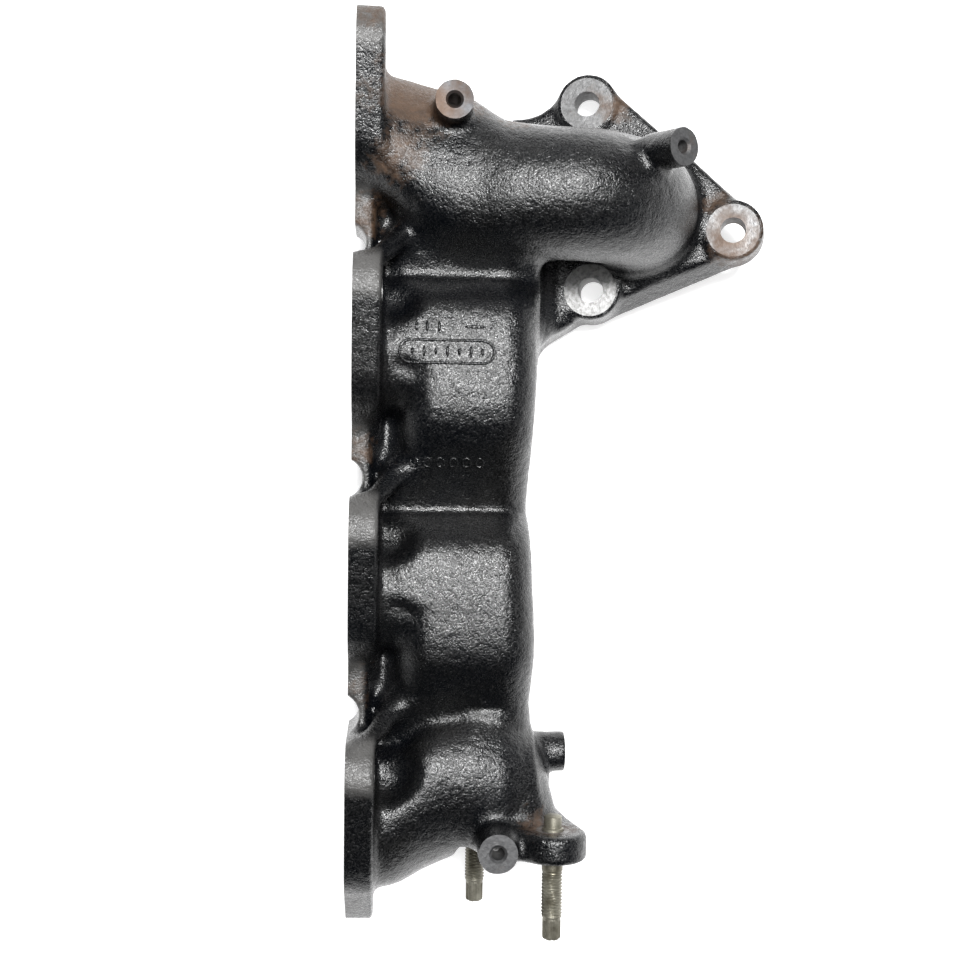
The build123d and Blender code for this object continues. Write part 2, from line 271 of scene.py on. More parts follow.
MIDDLE_BORE = [(-9, 0, 0, 17, 17), (0, 0, 0, 17, 17), (15, 0, -1.5, 19, 16.5), (42, 2, -5, 22, 17.5)]
RUNNER_4 = [
    (0, 0, 0, 22, 22, 0),
    (15, 2.5, -1, 25, 22, 0.2),
    (32, 12.5, -3.5, 28, 23.5, 0.3),
    (46, 17, -5, 27, 24, 0.2),
    (58, 20.5, -5, 22, 22, 0),
    (70, 22, -6, 14, 15, 0),
]
RUNNER_4_BORE = [
    (-9, 0, 0, 17, 17), (0, 0, 0, 17, 17), (18, 2, -2, 17.5, 17), (32, 10, -4, 20, 18),
    (46, 15, -5, 20, 18.5),
]

# The log's top: y from the port and height of each hump, and the valley after it.
HUMP_LINE = [
    (31, 4.6), (28.5, 8.8), (25, 13.6), (21, 17.0), (16, 18.8), (8, 19.9), (0, 20.4), (-10, 20.5),
    (-17, 20.1), (-23, 18.9), (-29, 16.2), (-36, 11.9), (-45, 6.6), (-52, 2.9),
]
VALLEY_DY = -57.5
VALLEY_Z = 0.8
LOG_FLOOR_Z = -25.5
LOG_START_Y = 112.0
LOG_END_Y = -112.0
LOG_NEAR_X = 8.0
LOG_NEAR_LOW_SIDE_X = 18.5
LOG_CORNER = 14.0
LOG_SHELF_X = (4.0, 44.0)
LOG_SHELF_Z = -5.0
# The log's far side: x along y.
LOG_FAR = [
    (112, 71), (60, 71.2), (46, 71.3), (20, 70.6), (-8, 69.8), (-40, 70.8), (-67, 71.9), (-95, 70.8),
    (-112, 70.5),
]


def log_top(y):
    """The height of the log's top, from the elbow's root over the humps."""
    knots = [(LOG_START_Y, 14.0), (104, 10.6), (96, 6.9), (88, 3.6), (LOG_START_Y - 32.5, VALLEY_Z)]
    for port_y in PORT_Y[1:]:
        knots += [(port_y + dy, z) for dy, z in HUMP_LINE]
        knots.append((port_y + VALLEY_DY, VALLEY_Z))
    knots = np.array([k for k in knots if k[0] > LOG_END_Y - 3])
    return smooth_curve(knots[:, 0], knots[:, 1], y)


def log_body(x, y, z):
    far = smooth_curve([k[0] for k in LOG_FAR], [k[1] for k in LOG_FAR], y)
    top = log_top(y)
    # Near the flange each hump runs full width on its upper side and draws back on its lower side.
    phase = (y - PORT_Y[1] + PORT_PITCH / 2) % PORT_PITCH - PORT_PITCH / 2
    back = np.clip((3 - phase) / 8, 0, 1) * np.clip((phase + 45) / 9, 0, 1)
    near = LOG_NEAR_X + (LOG_NEAR_LOW_SIDE_X - LOG_NEAR_X) * back * back * (3 - 2 * back)
    half_x, half_z = (far - near) / 2, (top - LOG_FLOOR_Z) / 2
    u, v = np.abs(x - (far + near) / 2), np.abs(z - (top + LOG_FLOOR_Z) / 2)
    d = slab(u - half_x, v - half_z, LOG_CORNER)
    shelf_mid, shelf_half = sum(LOG_SHELF_X) / 2, (LOG_SHELF_X[1] - LOG_SHELF_X[0]) / 2
    shelf_z, shelf_t = (LOG_SHELF_Z + LOG_FLOOR_Z) / 2, (LOG_SHELF_Z - LOG_FLOOR_Z) / 2
    shelf = slab(np.abs(x - shelf_mid) - shelf_half, np.abs(z - shelf_z) - shelf_t, 5)
    d = round_union(d, shelf, 7)
    return round_common(d, np.maximum(y - LOG_START_Y, LOG_END_Y - y), 6)


def elbow(radius, straight_from):
    """Torus bend, the straight leg beyond it, and a straight lead-in along X."""

    def shape(x, y, z):
        side = y - BEND_Y
        px, pz = x - BEND_X, z + BEND_R
        turn = np.arctan2(px, pz)
        bend = np.hypot(np.hypot(px, pz) - BEND_R, side) - radius
        bend = np.where((turn > -0.05) & (turn < BEND_TURN + 0.05), bend, 60.0)
        qx, qz = x - TURBO_AT[0], z - TURBO_AT[2]
        h = qx * TURBO_OUT[0] + qz * TURBO_OUT[2]
        leg = np.hypot(qx * TURBO_ACROSS[0] + qz * TURBO_ACROSS[2], side) - radius
        leg = np.maximum(leg, np.maximum(h - 3.0, -LEG - 0.6 - h))
        lead = np.maximum(np.hypot(side, z) - radius, np.maximum(straight_from - x, x - BEND_X - 0.6))
        return np.minimum(np.minimum(bend, leg), lead)

    return shape


HEAD_LOBE_R = 14.5
HEAD_RIM_R = 25
HEAD_OUTLINE = hull([
    (BOLT[0], BOLT[1], HEAD_LOBE_R), (-BOLT[0], -BOLT[1], HEAD_LOBE_R), (33.5, -8, 6.5), (0, 0, HEAD_RIM_R),
])


def head_flange(port_y):
    def shape(x, y, z):
        return slab(outline(HEAD_OUTLINE, y - port_y, z), np.maximum(-3 - x, x - FLANGE_T), 1.6)

    return shape


WEB_T = 8.5
WEB_Z = (-24, 6)


def web(upper_y, lower_y):
    """The thin wall between two head flanges."""
    low, high = lower_y + 22, upper_y - 22

    def shape(x, y, z):
        flat = slab(np.maximum(-3 - x, x - WEB_T), np.maximum(WEB_Z[0] - z, z - WEB_Z[1]), 3.8)
        return np.maximum(flat, np.maximum(low - y, y - high))

    return shape


def turbo_local(x, y, z):
    """Across, along and into the turbo flange, from the middle of its face."""
    px, pz = x - TURBO_AT[0], z - TURBO_AT[2]
    return (px * TURBO_ACROSS[0] + pz * TURBO_ACROSS[2], y - TURBO_AT[1],
            -(px * TURBO_OUT[0] + pz * TURBO_OUT[2]))


PLATE = hull([(x, y, TURBO_LOBE_R) for x, y in TURBO_HOLES] + [(0, 0, ELBOW_R + 4.5)])
# The plate's wide root, beyond the hull of its lobes, where it grows out of the log.
PLATE_ROOT = [
    (-55, 43), (-48, 43.3), (-42.5, 44.7), (-38.5, 47.2), (-35, 51), (-32, 54.5), (0, 0),
    (-23, -45), (-31, -47.5), (-38, -52), (-41.5, -56), (-43, -61), (-55, -61),
]


def turbo_plate(x, y, z):
    u, v, w = turbo_local(x, y, z)
    # Its sides slope, more so on the side towards the log.
    draft = 0.12 + 0.26 * np.clip((20 - v) / 40, 0, 1)
    flat = np.minimum(outline(PLATE, u, v), outline(PLATE_ROOT, u, v)) + w * draft
    return slab(flat, np.maximum(-3 - w, w - TURBO_T), 1.8)


def turbo_boss(at):
    def shape(x, y, z):
        u, v, w = turbo_local(x, y, z)
        flat = np.hypot(u - at[0], v - at[1]) - TURBO_LOBE_R
        return slab(flat, np.maximum(-3 - w, w - TURBO_BOSS_T), 1.0)

    return shape


ROOT_SIDE = [
    (92, -41), (84, -39.5), (78.5, -34.5), (75, -27), (72, -16), (70, -5), (56, -5), (56, -24),
    (70, -57), (92, -57),
]
ROOT_PLAN = [
    (98, 68), (98, 138), (50, 138), (50, 44), (71, 44), (73.5, 50), (77.5, 56), (82, 60.5), (90, 65.5),
]


def turbo_root(x, y, z):
    """The web that carries the turbo flange down from the log."""
    _, _, w = turbo_local(x, y, z)
    side = round_common(outline(ROOT_SIDE, x, z), -3 - w, 0.5)
    return round_common(side, outline(ROOT_PLAN, x, y), 3)


def egr_neck(x, y, z):
    """The neck from the log's end to the EGR flange, swelling as it leaves the log."""
    t = np.clip((-96 - y) / 36, 0, 1)
    rho = np.hypot(x - (55 + 10 * t), z - (-5 + 3 * t))
    swell = 9.0 + 9.0 * np.sqrt(np.clip((-88 - y) / 22, 0, 1))
    return np.maximum(rho - swell, np.maximum(EGR_Y - 2 - y, y + 88))


EGR_OUTLINE = hull([(x, z, 13.0) for x, z in STUDS.values()] + [(*EGR_AT, 20.5)])


def egr_flange(x, y, z):
    return slab(outline(EGR_OUTLINE, x, z), np.maximum(y - EGR_Y, EGR_Y - EGR_T - 0.5 - y), 2.0)


def bar(start, end, radius, end_radius):
    """A round-ended bar between two points, with a radius at each."""
    a, b = np.array(start, float), np.array(end, float)

    def shape(x, y, z):
        px, py, pz = x - a[0], y - a[1], z - a[2]
        ex, ey, ez = b - a
        t = np.clip((px * ex + py * ey + pz * ez) / (ex * ex + ey * ey + ez * ez), 0, 1)
        d = np.sqrt((px - ex * t) ** 2 + (py - ey * t) ** 2 + (pz - ez * t) ** 2)
        return d - radius - (end_radius - radius) * t

    return shape


def gusset(x, y, z):
    """The small rib beside the side boss."""
    t = np.clip((x - 68) / 16, 0, 1)
    across = np.maximum(np.abs(z + 15) - 8, np.maximum(66 - x, x - 84 + 6 * t))
    return slab(np.abs(y + 119 - 2 * t) - (3.5 - 1.5 * t), across, 2)


def nut_space(y0, z0, radius, reach):
    """Room for a nut behind the flange, with a round bottom."""

    def shape(x, y, z):
        rho = np.hypot(y - y0, z - z0)
        along = np.maximum(x - reach, 0)
        return np.maximum(np.hypot(rho, along) - radius, FLANGE_T - x)

    return shape


def scallop(at_y):
    """The shallow hollow across the middle of a web."""

    def shape(x, y, z):
        return np.hypot(x + 3.4, y - at_y) - 7.6

    return shape


def egr_bore(x, y, z):
    t = np.clip((-100 - y) / 31, 0, 1)
    rho = np.hypot(x - (54 + 11 * t), z - (-5 + 3 * t))
    return np.maximum(rho - EGR_PORT_R, np.maximum(-150 - y, y + 100))


def log_bore(x, y, z):
    return np.maximum(oval(x - 48.5, z + 12, 17, 9.5), np.maximum(y - 112, -118 - y))


def add_runners(clay):
    tube, bend = x_tube(RUNNER_1, PORT_Y[0]), elbow(ELBOW_R, 79)
    clay.join(lambda x, y, z: np.minimum(tube(x, y, z), bend(x, y, z)), (0, 84, -66), (150, 162, 28), 6)
    for y in PORT_Y[1:3]:
        clay.join(x_tube(MIDDLE_RUNNER, y), (0, y - 30, -30), (60, y + 30, 24), 4)
    clay.join(x_tube(RUNNER_4, PORT_Y[3]), (0, -164, -30), (70, -88, 24), 5)


def add_ribs(clay):
    """The slanting ribs beside the middle runners."""
    for y in PORT_Y[1:]:
        clay.join(bar((9, y + 37, 18), (19, y + 50, 0), 3.6, 5.0), (2, y + 30, -8), (28, y + 60, 26), 4)
    for y in PORT_Y[1:3]:
        clay.join(bar((9, y - 19, 5), (19, y - 7, 12.5), 3.2, 4.5), (4, y - 26, 0), (26, y, 22), 3)


def cut_nut_spaces(clay):
    for y, z in HEAD_BOLTS:
        radius, reach, edge = (10.2, 15.0, 5) if z > 0 else (9.0, 13.0, 2)
        space = nut_space(y, z, radius, reach)
        clay.cut(space, (FLANGE_T, y - 11, z - 11), (27, y + 11, z + 11), edge)


def add_flanges(clay):
    for upper, lower in zip(PORT_Y, PORT_Y[1:]):
        clay.join(web(upper, lower), (-3, lower + 20, -25), (12, upper - 20, 7), 4)
    for y in PORT_Y:
        clay.join(head_flange(y), (-4, y - 42, -35), (12, y + 42, 35), 3)
    clay.join(turbo_root, (48, 42, -62), (100, 140, -2), 9)
    clay.join(turbo_plate, (60, 48, -66), (176, 174, -14), 6)
    for at in TURBO_HOLES:
        u, v = TURBO_AT[0] + at[0], TURBO_AT[1] + at[1]
        clay.join(turbo_boss(at), (u - 20, v - 15, -66), (u + 20, v + 15, -14), 2)
    clay.join(egr_flange, (36, EGR_Y - EGR_T - 3, -42), (94, EGR_Y, 38), 3.5)


def add_bosses(clay):
    clay.join(gusset, (62, -126, -26), (86, -112, -4), 4)
    for face, axis, length, radius, _, _ in BOSSES:
        axis = np.array(axis) / np.linalg.norm(axis)
        tip = np.array(face) + 1.5 * axis
        root = tip - length * axis
        low, high = np.minimum(tip, root) - radius, np.maximum(tip, root) + radius
        clay.join(rod(tip, axis, length, radius, 0.6), low, high, 4)


def cut_scallops(clay):
    for upper, lower in zip(PORT_Y, PORT_Y[1:]):
        mid = (upper + lower) / 2
        clay.cut(scallop(mid), (-5, mid - 9, -60), (5, mid + 9, 40), 1.2)


def cut_passages(clay):
    clay.cut(x_tube(RUNNER_1_BORE, PORT_Y[0]), (-9, 90, -26), (83, 156, 22))
    for y in PORT_Y[1:3]:
        clay.cut(x_tube(MIDDLE_BORE, y), (-9, y - 24, -26), (42, y + 26, 20))
    clay.cut(x_tube(RUNNER_4_BORE, PORT_Y[3]), (-9, -156, -26), (46, -98, 20))
    clay.cut(elbow(ELBOW_BORE_R, 78), (74, 88, -68), (146, 138, 24))
    clay.cut(log_bore, (30, -118, -22), (67, 112, 0))
    clay.cut(egr_bore, (40, -150, -18), (78, -100, 12))


def build_field():
    clay = Clay()
    clay.join(log_body, (3, LOG_END_Y, -28), (76, LOG_START_Y, 24), 0)
    add_runners(clay)
    clay.join(egr_neck, (36, EGR_Y - 2, -24), (86, -88, 18), 8)
    add_ribs(clay)
    cut_nut_spaces(clay)
    add_flanges(clay)
    add_bosses(clay)
    cut_scallops(clay)
    cut_passages(clay)
    return clay


# ------------------------------------------------------------ meshes
def noise_grid(seed, size=48):
    return np.random.default_rng(seed).standard_normal((size, size, size)).astype(np.float32)


def value_noise(points, scale, seed):
    """Smooth random values, about -1 to 1, at points in millimetres."""
    grid = noise_grid(seed)
    n = grid.shape[0]
    p = points / scale + 500.0
    cell = np.floor(p).astype(int)
    t = p - cell
    t = t * t * (3 - 2 * t)
    out = np.zeros(len(points))
    for corner in range(8):
        o = np.array([corner & 1, corner >> 1 & 1, corner >> 2 & 1])
        w = np.prod(np.where(o, t, 1 - t), axis=1)
        i = (cell + o) % n
        out += w * grid[i[:, 0], i[:, 1], i[:, 2]]
    return out * 0.6


def new_object(name, verts, faces, material=None, smooth=True):
    mesh = bpy.data.meshes.new(name)
    mesh.from_pydata([tuple(v) for v in verts], [], [tuple(f) for f in faces])
    mesh.update()
    if smooth:
        mesh.shade_smooth()
    obj = bpy.data.objects.new(name, mesh)
    bpy.context.scene.collection.objects.link(obj)
    if material:
        mesh.materials.append(material)
    return obj


def field_mesh(clay):
    """The surface where the distance is zero, as points and quads."""
    reach = 6.0
    grid = vdb.FloatGrid(reach)
    grid.copyFromArray(np.clip(clay.d, -reach, reach).astype(np.float32))
    points, _, quads = grid.convertToPolygons(0.0, 0.0)
    return points * STEP + np.array(FIELD_LOW), quads


def relax(points, faces, rounds, pull):
    """Evens out the mesh by moving each point towards the middle of its neighbours."""
    edges = np.concatenate([faces[:, [k, (k + 1) % 4]] for k in range(4)])
    count = np.bincount(edges[:, 0], minlength=len(points))
    count += np.bincount(edges[:, 1], minlength=len(points))
    for _ in range(rounds):
        total = np.zeros_like(points)
        for k in range(3):
            total[:, k] = np.bincount(edges[:, 0], points[edges[:, 1], k], len(points))
            total[:, k] += np.bincount(edges[:, 1], points[edges[:, 0], k], len(points))
        points = points + pull * (total / np.maximum(count, 1)[:, None] - points)
    return points


# ------------------------------------------------------------ materials
class Nodes:
    """Short calls for building a material."""

    def __init__(self, name):
        self.material = bpy.data.materials.new(name)
        self.material.use_nodes = True
        self.tree = self.material.node_tree
        self.bsdf = next(n for n in self.tree.nodes if n.type == "BSDF_PRINCIPLED")
        self.coords = self.tree.nodes.new("ShaderNodeTexCoord").outputs["Object"]

    def link(self, a, b):
        self.tree.links.new(a, b)

    def set(self, node, **values):
        for key, value in values.items():
            self.put(value, node.inputs[key.replace("_", " ")])

    def put(self, value, socket):
        """Links an output to a socket, or sets a number or a colour on it."""
        if hasattr(value, "is_output"):
            self.link(value, socket)
        else:
            socket.default_value = (*value, 1.0) if isinstance(value, tuple) else value

    def noise(self, scale, detail=3.0, rough=0.55):
        n = self.tree.nodes.new("ShaderNodeTexNoise")
        self.link(self.coords, n.inputs["Vector"])
        self.set(n, Scale=scale, Detail=detail, Roughness=rough)
        return n.outputs["Fac"]

    def ramp(self, fac, low, high, out_low=0.0, out_high=1.0):
        n = self.tree.nodes.new("ShaderNodeMapRange")
        for key, value in zip(("From Min", "From Max", "To Min", "To Max"), (low, high, out_low, out_high)):
            n.inputs[key].default_value = value
        self.link(fac, n.inputs["Value"])
        return n.outputs["Result"]

    def mix(self, fac, a, b):
        """Mixes two colours. The mix node's colour sockets are its inputs 6 and 7 and its output 2."""
        n = self.tree.nodes.new("ShaderNodeMix")
        n.data_type = "RGBA"
        for value, socket in zip((fac, a, b), (n.inputs[0], n.inputs[6], n.inputs[7])):
            self.put(value, socket)
        return n.outputs[2]

    def math(self, kind, a, b):
        n = self.tree.nodes.new("ShaderNodeMath")
        n.operation = kind
        self.put(a, n.inputs[0])
        self.put(b, n.inputs[1])
        return n.outputs[0]

    def attribute(self, name):
        n = self.tree.nodes.new("ShaderNodeAttribute")
        n.attribute_name = name
        return n.outputs["Fac"]

    def bump(self, height, strength, distance):
        n = self.tree.nodes.new("ShaderNodeBump")
        self.set(n, Strength=strength, Distance=distance, Height=height)
        return n.outputs["Normal"]


def cast_iron():
    """Black gloss over a sand-cast grain, with dust, rust, and grey on the flanges' top edges that is partly
    wear and partly painted highlight.
    """
    n = Nodes("cast_iron_black")
    grain = n.noise(1300, 2, 0.6)
    coarse = n.noise(320, 4, 0.6)
    patches = n.noise(28, 4, 0.6)
    rust = n.attribute("rust")
    dusty = n.ramp(patches, 0.42, 0.72, 0, 1)
    black = n.mix(dusty, (0.0010, 0.0014, 0.0022), (0.0032, 0.0032, 0.0032))
    speckle = n.ramp(grain, 0.66, 0.78, 0, 0.5)
    black = n.mix(speckle, black, (0.045, 0.042, 0.038))
    # Painted highlight, partly wear: the flanges' upper lobes and lower steps, where light falls on them, are
    # made grey.
    black = n.mix(n.math("MULTIPLY", n.attribute("wear_and_highlight"), 0.85), black, (0.085, 0.083, 0.080))
    edge = n.math("ADD", rust, n.math("MULTIPLY", n.math("SUBTRACT", coarse, 0.5), 0.9))
    rusty = n.ramp(edge, 0.35, 0.75, 0, 1)
    brown = n.mix(n.noise(420, 3), (0.030, 0.017, 0.010), (0.095, 0.054, 0.030))
    n.set(n.bsdf, Base_Color=n.mix(rusty, black, brown))
    gloss = n.ramp(coarse, 0.3, 0.7, 0.22, 0.31)
    gloss = n.math("ADD", gloss, n.ramp(grain, 0.40, 0.62, -0.08, 0.14))
    gloss = n.math("ADD", gloss, n.math("MULTIPLY", n.attribute("wear_and_highlight"), 0.15))
    n.set(n.bsdf, Roughness=n.math("ADD", gloss, n.math("MULTIPLY", rusty, 0.25)))
    n.set(n.bsdf, Metallic=0.0)
    n.bsdf.inputs["Specular IOR Level"].default_value = 0.55
    height = n.math("ADD", n.math("MULTIPLY", grain, 0.55), coarse)
    n.set(n.bsdf, Normal=n.bump(height, 1.0, 0.0005))
    return n.material


def machined_iron():
    n = Nodes("machined_iron")
    turned = n.noise(2200, 2, 0.5)
    patches = n.noise(110, 4, 0.65)
    spots = n.noise(700, 3, 0.6)
    stain = n.math("ADD", n.math("MULTIPLY", n.attribute("rust"), 0.5), patches)
    rusty = n.ramp(stain, 0.60, 0.95, 0, 0.8)
    grey = n.mix(n.ramp(spots, 0.4, 0.65, 0, 1), (0.42, 0.42, 0.415), (0.22, 0.215, 0.21))
    grey = n.mix(n.attribute("bare"), (0.030, 0.031, 0.034), grey)
    n.set(n.bsdf, Base_Color=n.mix(rusty, grey, (0.075, 0.045, 0.028)), Metallic=0.6)
    n.set(n.bsdf, Roughness=n.ramp(patches, 0.3, 0.7, 0.38, 0.60))
    n.set(n.bsdf, Normal=n.bump(n.math("ADD", turned, n.math("MULTIPLY", spots, 1.5)), 0.35, 0.00025))
    return n.material


def zinc_steel():
    n = Nodes("zinc_steel")
    patches = n.noise(160, 4, 0.6)
    fine = n.noise(1800, 3, 0.5)
    tone = n.mix(n.ramp(patches, 0.35, 0.65, 0, 1), (0.13, 0.12, 0.09), (0.27, 0.26, 0.215))
    tone = n.mix(n.ramp(fine, 0.60, 0.72, 0, 0.6), tone, (0.05, 0.042, 0.028))
    n.set(n.bsdf, Base_Color=tone, Metallic=0.7, Roughness=n.ramp(patches, 0.3, 0.7, 0.36, 0.55))
    n.set(n.bsdf, Normal=n.bump(fine, 0.25, 0.0002))
    return n.material


def pale_floor():
    n = Nodes("pale_floor")
    tone = n.mix(n.ramp(n.noise(6, 2), 0.3, 0.7, 0, 1), (0.80, 0.80, 0.80), (0.83, 0.83, 0.83))
    n.set(n.bsdf, Base_Color=tone, Roughness=0.8)
    n.set(n.bsdf, Emission_Color=tone, Emission_Strength=0.75)
    return n.material


CAST, MACHINED, ZINC = cast_iron(), machined_iron(), zinc_steel()


# ------------------------------------------------------------ crisp machined cuts
def lathe_cutter(at, axis, profile, segments=64):
    """A closed turned cutter: profile is (distance along the axis, radius), from one end to the other."""
    at, axis = np.array(at, float), np.array(axis, float)
    axis = axis / np.linalg.norm(axis)
    side = np.cross(axis, (0.0, 1.0, 0.0) if abs(axis[1]) < 0.9 else (1.0, 0.0, 0.0))
    side /= np.linalg.norm(side)
    other = np.cross(axis, side)
    verts, faces = [], []
    for h, r in profile:
        for k in range(segments):
            a = 2 * pi * k / segments
            verts.append(at + axis * h + (side * cos(a) + other * sin(a)) * r)
    for row in range(len(profile) - 1):
        for k in range(segments):
            a, b = row * segments + k, row * segments + (k + 1) % segments
            faces.append((a, b, b + segments, a + segments))
    faces.append(tuple(range(segments))[::-1])
    faces.append(tuple(range(segments * (len(profile) - 1), segments * len(profile))))
    return verts, faces


def prism_cutter(points, place):
    """A closed prism: place turns an outline point and 0 or 1 into a point in space."""
    n = len(points)
    verts = [place(u, v, end) for end in (0, 1) for u, v in points]
    faces = [(k, (k + 1) % n, n + (k + 1) % n, n + k) for k in range(n)]
    faces += [tuple(range(n))[::-1], tuple(range(n, 2 * n))]
    return verts, faces


def turbo_point(u, v):
    """A point on the turbo flange's face, across and along it from its middle."""
    return TURBO_AT + TURBO_ACROSS * u + np.array([0, v, 0])


def cutters():
    """Every machined face and hole, each as one closed shape, in groups that don't touch each other."""
    square = [(-80, -80), (80, -80), (80, 80), (-80, 80)]
    long = [(-190, -60), (190, -60), (190, 60), (-190, 60)]
    egr = hull([(x, z, 16.0) for x, z in STUDS.values()] + [(*EGR_AT, 23.0)], 24)
    planes = [
        prism_cutter(long, lambda u, v, end: (-12 * end, u, v)),
        prism_cutter(square, lambda u, v, end: turbo_point(u, v) + TURBO_OUT * (12 * end - 0.02)),
        prism_cutter(egr, lambda u, v, end: (u, EGR_Y - EGR_T - 9 * end, min(v, 25.5))),
    ]
    holes, seats = [], []
    head_profile = [(-14, HEAD_HOLE_R), (-0.4, HEAD_HOLE_R), (0.6, HEAD_HOLE_R + 1)]
    for y, z in HEAD_BOLTS:
        holes.append(lathe_cutter((0, y, z), (-1, 0, 0), head_profile))
    turbo_profile = [(-TURBO_BOSS_T - 3, TURBO_HOLE_R), (-0.6, TURBO_HOLE_R), (0.6, TURBO_HOLE_R + 0.95)]
    for u, v in TURBO_HOLES:
        at = turbo_point(u, v)
        holes.append(lathe_cutter(at, TURBO_OUT, turbo_profile))
        seat = [(-0.8, TURBO_SEAT_R), (5, TURBO_SEAT_R)]
        seats.append(lathe_cutter(at - TURBO_OUT * TURBO_BOSS_T, -TURBO_OUT, seat))
    for face, axis, _, radius, hole, depth in BOSSES:
        cone = 0.9 if radius < 8 else 1.2
        profile = [(-depth - 1.4, 0.4), (-depth, hole), (-cone, hole), (0.5, hole + cone + 0.5)]
        holes.append(lathe_cutter(face, axis, profile))
        seats.append(lathe_cutter(face, axis, [(0, radius + 2.5), (4, radius + 2.5)]))
    for x, z in STUDS.values():
        profile = [(-EGR_T - 1, STUD_R), (-0.5, STUD_R), (0.3, STUD_R + 0.8)]
        holes.append(lathe_cutter((x, EGR_Y, z), (0, 1, 0), profile))
        seats.append(lathe_cutter((x, EGR_Y, z), (0, 1, 0), [(-0.2, 6.3), (7.0, 6.3)]))
    return planes, seats, holes


def face_outwards(mesh, weld=0.0):
    """Turns every face outwards, after welding points closer than a distance in metres."""
    bm = bmesh.new()
    bm.from_mesh(mesh)
    if weld:
        bmesh.ops.remove_doubles(bm, verts=bm.verts, dist=weld)
    bmesh.ops.recalc_face_normals(bm, faces=bm.faces)
    bm.to_mesh(mesh)
    bm.free()


def join_shapes(name, shapes, material):
    verts, faces = [], []
    for v, f in shapes:
        offset = len(verts)
        verts += [tuple(float(c) * MM for c in p) for p in v]
        faces += [tuple(offset + i for i in face) for face in f]
    obj = new_object(name, verts, faces, material, smooth=False)
    face_outwards(obj.data)
    return obj


def carve(obj, shapes):
    """Cuts shapes out of an object and leaves the cut faces machined."""
    cutter = join_shapes("cutter", shapes, MACHINED)
    mod = obj.modifiers.new("machined", "BOOLEAN")
    mod.operation = "DIFFERENCE"
    mod.solver = "MANIFOLD"
    mod.object = cutter
    mod.material_mode = "TRANSFER"
    bpy.context.view_layer.objects.active = obj
    bpy.ops.object.modifier_apply(modifier=mod.name)
    bpy.data.objects.remove(cutter)


points, quads = field_mesh(build_field())
points = relax(points, quads.astype(int), 3, 0.35)
casting = new_object("casting_body", points * MM, quads, CAST)
normals = np.zeros(len(points) * 3)
casting.data.vertices.foreach_get("normal", normals)
normals = normals.reshape(-1, 3)
# The sand mould's unevenness: depth in mm, size in mm and seed of each layer.
SAND = ((0.14, 13, 3), (0.07, 5, 4), (0.06, 2.4, 5))
wave = sum(depth * value_noise(points, size, seed) for depth, size, seed in SAND)
wave = np.clip(wave, -0.4, 0.4) - 0.15
casting.data.vertices.foreach_set("co", ((points + normals * wave[:, None]) * MM).ravel())
casting.data.update()
for group in cutters():
    carve(casting, group)
bpy.context.view_layer.objects.active = casting
casting.select_set(True)
bpy.ops.object.shade_smooth_by_angle(angle=radians(32))


# ------------------------------------------------------------ raised foundry marks
def on_surface(tree, x, y):
    """The height of the casting's top at a place, in millimetres."""
    hit = tree.ray_cast(Vector((x * MM, y * MM, 0.2)), Vector((0, 0, -1)))[0]
    return hit.z / MM


def bead(path, radius, closed=False, sides=8):
    """A raised bead that follows a path, tapered at its ends unless it's closed."""
    verts, faces = [], []
    n = len(path)
    for k, here in enumerate(path):
        ahead = path[(k + 1) % n] if closed or k < n - 1 else here
        behind = path[k - 1] if closed or k else here
        along = Vector(ahead) - Vector(behind)
        side = Vector((along.y, -along.x, 0)).normalized()
        ends = 0.35 if not closed and k in (0, n - 1) else 1.0
        for j in range(sides):
            a = 2 * pi * j / sides
            spoke = side * cos(a) + Vector((0, 0, 1)) * sin(a)
            verts.append(tuple(Vector(here) + spoke * radius * ends))
    for k in range(n if closed else n - 1):
        for j in range(sides):
            a, b = k * sides + j, k * sides + (j + 1) % sides
            c, d = (a + sides) % (n * sides), (b + sides) % (n * sides)
            faces.append((a, b, d, c))
    if not closed:
        faces += [tuple(range(sides))[::-1], tuple(range((n - 1) * sides, n * sides))]
    return verts, faces


def foundry_marks(tree):
    """Plain raised marks on the second hump that say nothing: a ring with bars in it, bars and small rings."""
    shapes = []

    def stroke(points, radius=0.62, closed=False):
        path = [(x, y, on_surface(tree, x, y) + 0.05) for x, y in points]
        shapes.append(bead(path, radius, closed))

    left, right, mid, r = 22.0, 49.0, 48.0, 4.3
    ring = [(right + r * sin(a), mid + r * cos(a)) for a in np.linspace(0, pi, 14)]
    ring += [(x, mid - r) for x in np.linspace(right - 2, left + 2, 14)]
    ring += [(left - r * sin(a), mid - r * cos(a)) for a in np.linspace(0, pi, 14)]
    ring += [(x, mid + r) for x in np.linspace(left + 2, right - 2, 14)]
    stroke(ring, 0.55, True)
    for k in range(7):
        x, tall = 22.5 + 4.4 * k, 2.2 if k % 2 else 1.3
        stroke([(x, mid + t) for t in np.linspace(-tall, tall, 5)], 0.6)
    upper_row, lower_row = 57.5, 6.5
    for x in (24.0, 28.0, 32.5):
        stroke([(x, upper_row + t) for t in np.linspace(-2.0, 2.0, 5)], 0.6)
    stroke([(x, upper_row) for x in np.linspace(42, 50, 7)], 0.6)
    for k in range(6):
        x = 24.0 + 5.0 * k
        turns = np.linspace(0, 2 * pi, 12, endpoint=False)
        stroke([(x + 1.5 * cos(a), lower_row + 1.7 * sin(a)) for a in turns], 0.5, True)
    return join_shapes("foundry_marks", shapes, CAST)


surface = BVHTree.FromObject(casting, bpy.context.evaluated_depsgraph_get())
marks = foundry_marks(surface)
marks.data.shade_smooth()
for obj in bpy.context.selected_objects:
    obj.select_set(False)
marks.select_set(True)
casting.select_set(True)
bpy.context.view_layer.objects.active = casting
bpy.ops.object.join()



# ------------------------------------------------------------ rust, wear and bare metal
def paint(name, values):
    """Stores a value per point of the casting for its materials to read."""
    layer = casting.data.attributes.new(name, "FLOAT", "POINT")
    layer.data.foreach_set("value", values.astype(np.float32))


